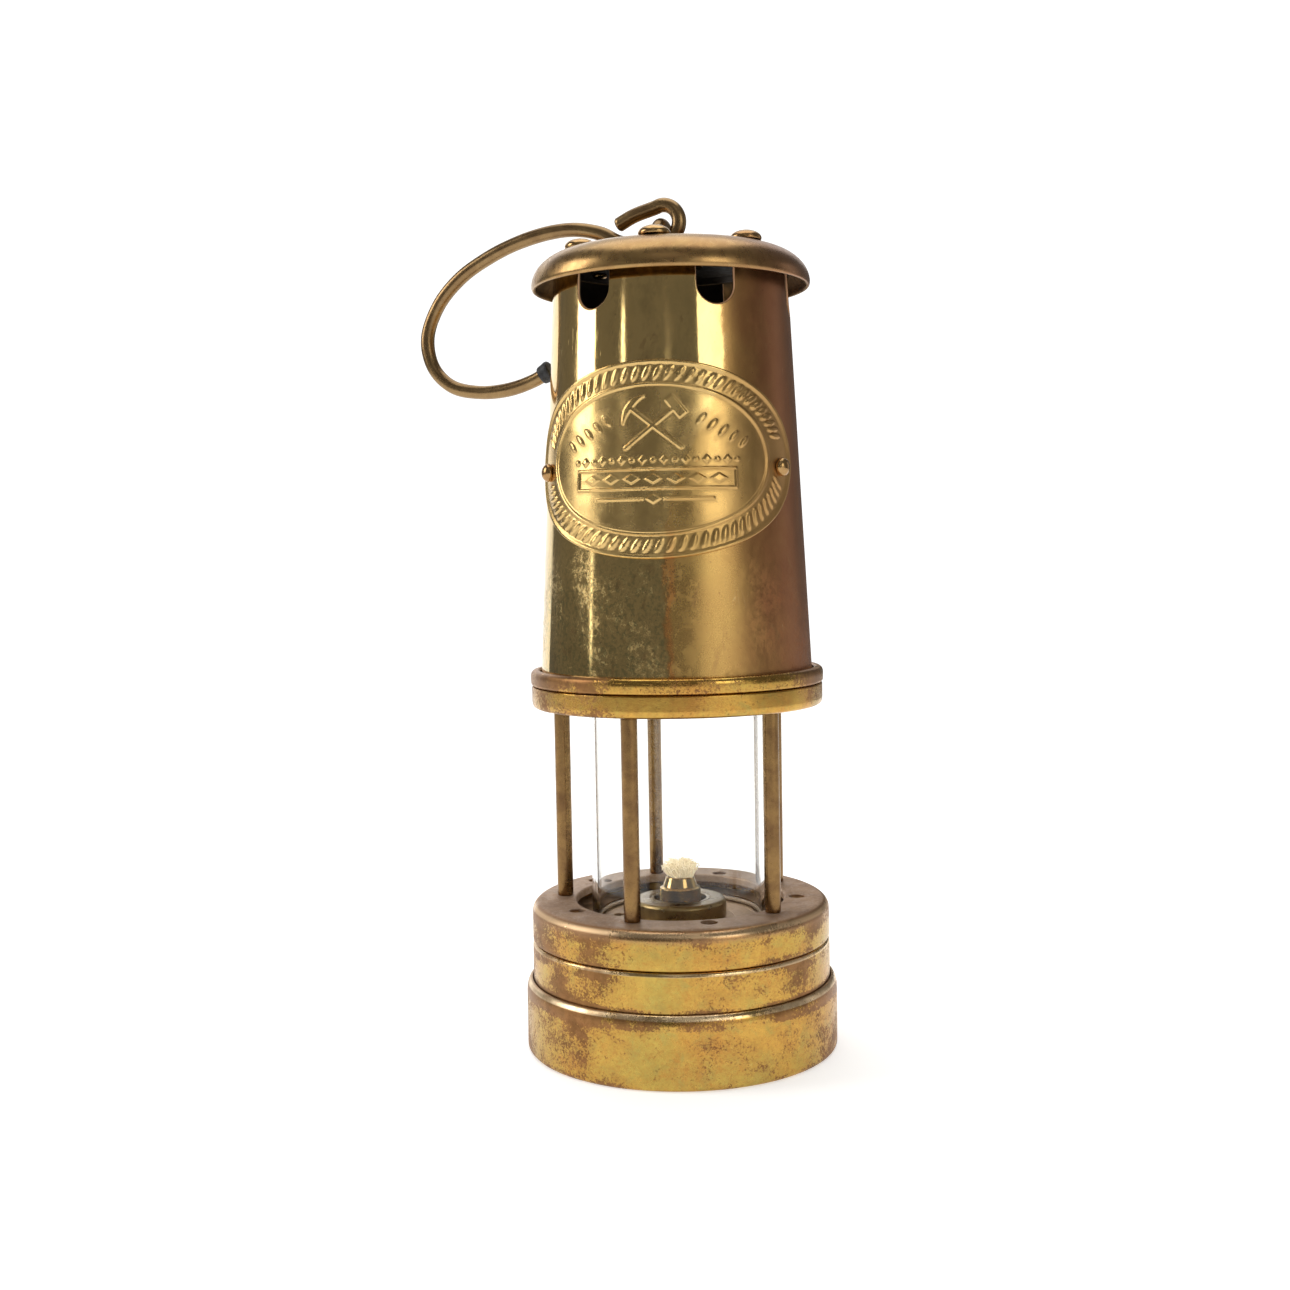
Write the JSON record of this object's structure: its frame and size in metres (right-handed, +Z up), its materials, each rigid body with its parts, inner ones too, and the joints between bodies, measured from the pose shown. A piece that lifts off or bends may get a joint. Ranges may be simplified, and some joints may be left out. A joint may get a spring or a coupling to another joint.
{
  "type": "miner's safety lamp",
  "caption": "Brass flame safety lamp with a screwed oil font, pillared glass, double gauze in a slotted bonnet, riveted cap and swivelling wire hook.",
  "frame": {"origin": "centre of the flat underside of the base", "axes": "+Z up along the lamp's axis; the name plate faces -Y; the hook lies towards -X"},
  "size_m": [0.1177, 0.088, 0.2373],
  "materials": {
    "base_brass": "aged, mottled with red-brown tarnish",
    "plate_brass": "dull, pinkish brown tarnish",
    "pillar_brass": "satin, golden brown",
    "bonnet_brass": "polished, tarnished on one side",
    "cap_brass": "satin brown",
    "hook_brass": "satin, rubbed golden brown",
    "rivet_brass": "polished dome",
    "burner_brass": "satin with dust",
    "nut_brass": "machined",
    "gauze_wire": "fine woven wire, dull",
    "glass": "clear",
    "gasket": "matte",
    "wick_cotton": "braided cotton, frayed",
    "sleeve_rubber": "matte black"
  },
  "bodies": {
    "font": {"base_cup": "base_brass", "font_shell": "base_brass", "font_top_plate": "plate_brass", "burner_collar": "burner_brass"},
    "wick_guide": {"wick_tube": "nut_brass"},
    "wick_holder": {"wick_holder": "burner_brass"},
    "wick": {"wick": "wick_cotton"},
    "chimney": {"lower_gasket": "gasket", "glass_cylinder": "glass", "upper_gasket": "gasket"},
    "frame": {"lower_ring": "base_brass", "pillar_1": "pillar_brass", "pillar_2": "pillar_brass", "pillar_3": "pillar_brass", "pillar_4": "pillar_brass", "pillar_5": "pillar_brass", "pillar_nut_lower_1": "nut_brass", "pillar_nut_lower_2": "nut_brass", "pillar_nut_lower_3": "nut_brass", "pillar_nut_lower_4": "nut_brass", "pillar_nut_lower_5": "nut_brass", "pillar_nut_upper_1": "nut_brass", "pillar_nut_upper_2": "nut_brass", "pillar_nut_upper_3": "nut_brass", "pillar_nut_upper_4": "nut_brass", "pillar_nut_upper_5": "nut_brass", "upper_ring": "base_brass"},
    "gauze": {"gauze_base_ring": "nut_brass", "gauze_outer": "gauze_wire", "gauze_inner": "gauze_wire", "gauze_cap": "nut_brass"},
    "bonnet": {"bonnet_ring": "base_brass", "bonnet_shell": "bonnet_brass", "name_plate": "bonnet_brass", "plate_rivet_1": "rivet_brass", "plate_rivet_2": "rivet_brass", "top_flange": "nut_brass", "cap": "cap_brass", "cap_rivet_1": "rivet_brass", "cap_rivet_2": "rivet_brass", "cap_rivet_3": "rivet_brass", "cap_rivet_4": "rivet_brass", "cap_rivet_5": "rivet_brass", "cap_rivet_6": "rivet_brass"},
    "swivel": {"swivel_eye": "hook_brass", "swivel_washer": "nut_brass", "swivel_nut": "nut_brass"},
    "hook": {"hook": "hook_brass", "hook_sleeve": "sleeve_rubber"}
  },
  "joints": [
    {"name": "wick_guide_rise", "type": "slide", "parent": "font", "child": "wick_guide", "axis": [0, 0, 1], "range_m": [0, 0.004]},
    {"name": "wick_holder_turn", "type": "hinge", "parent": "wick_guide", "child": "wick_holder", "pos_m": [0, 0, 0.0388], "axis": [0, 0, 1], "range_deg": [0, 1440]},
    {"name": "wick_raise", "type": "slide", "parent": "wick_guide", "child": "wick", "axis": [0, 0, 1], "range_m": [0, 0.005]},
    {"name": "chimney_lift", "type": "slide", "parent": "font", "child": "chimney", "axis": [0, 0, 1], "range_m": [0, 0.0045]},
    {"name": "frame_unscrew", "type": "hinge", "parent": "chimney", "child": "frame", "pos_m": [0, 0, 0.0396], "axis": [0, 0, 1], "range_deg": [0, 1080]},
    {"name": "gauze_lift", "type": "slide", "parent": "frame", "child": "gauze", "axis": [0, 0, 1], "range_m": [0, 0.0028]},
    {"name": "bonnet_unscrew", "type": "hinge", "parent": "gauze", "child": "bonnet", "pos_m": [0, 0, 0.1029], "axis": [0, 0, 1], "range_deg": [0, 720]},
    {"name": "swivel_turn", "type": "hinge", "parent": "bonnet", "child": "swivel", "pos_m": [0, 0, 0.222], "axis": [0, 0, 1], "continuous": true},
    {"name": "hook_swing", "type": "hinge", "parent": "swivel", "child": "hook", "pos_m": [-0.00204, 0.00082, 0.2301], "axis": [0.3746, 0.9272, 0], "range_deg": [0, 180]}
  ],
  "couplings": [
    {"joint": "wick_guide_rise", "follows": "wick_holder_turn", "m_per_rad": 0.00015915},
    {"joint": "chimney_lift", "follows": "frame_unscrew", "m_per_rad": 0.00023873},
    {"joint": "gauze_lift", "follows": "bonnet_unscrew", "m_per_rad": 0.00022282}
  ]
}
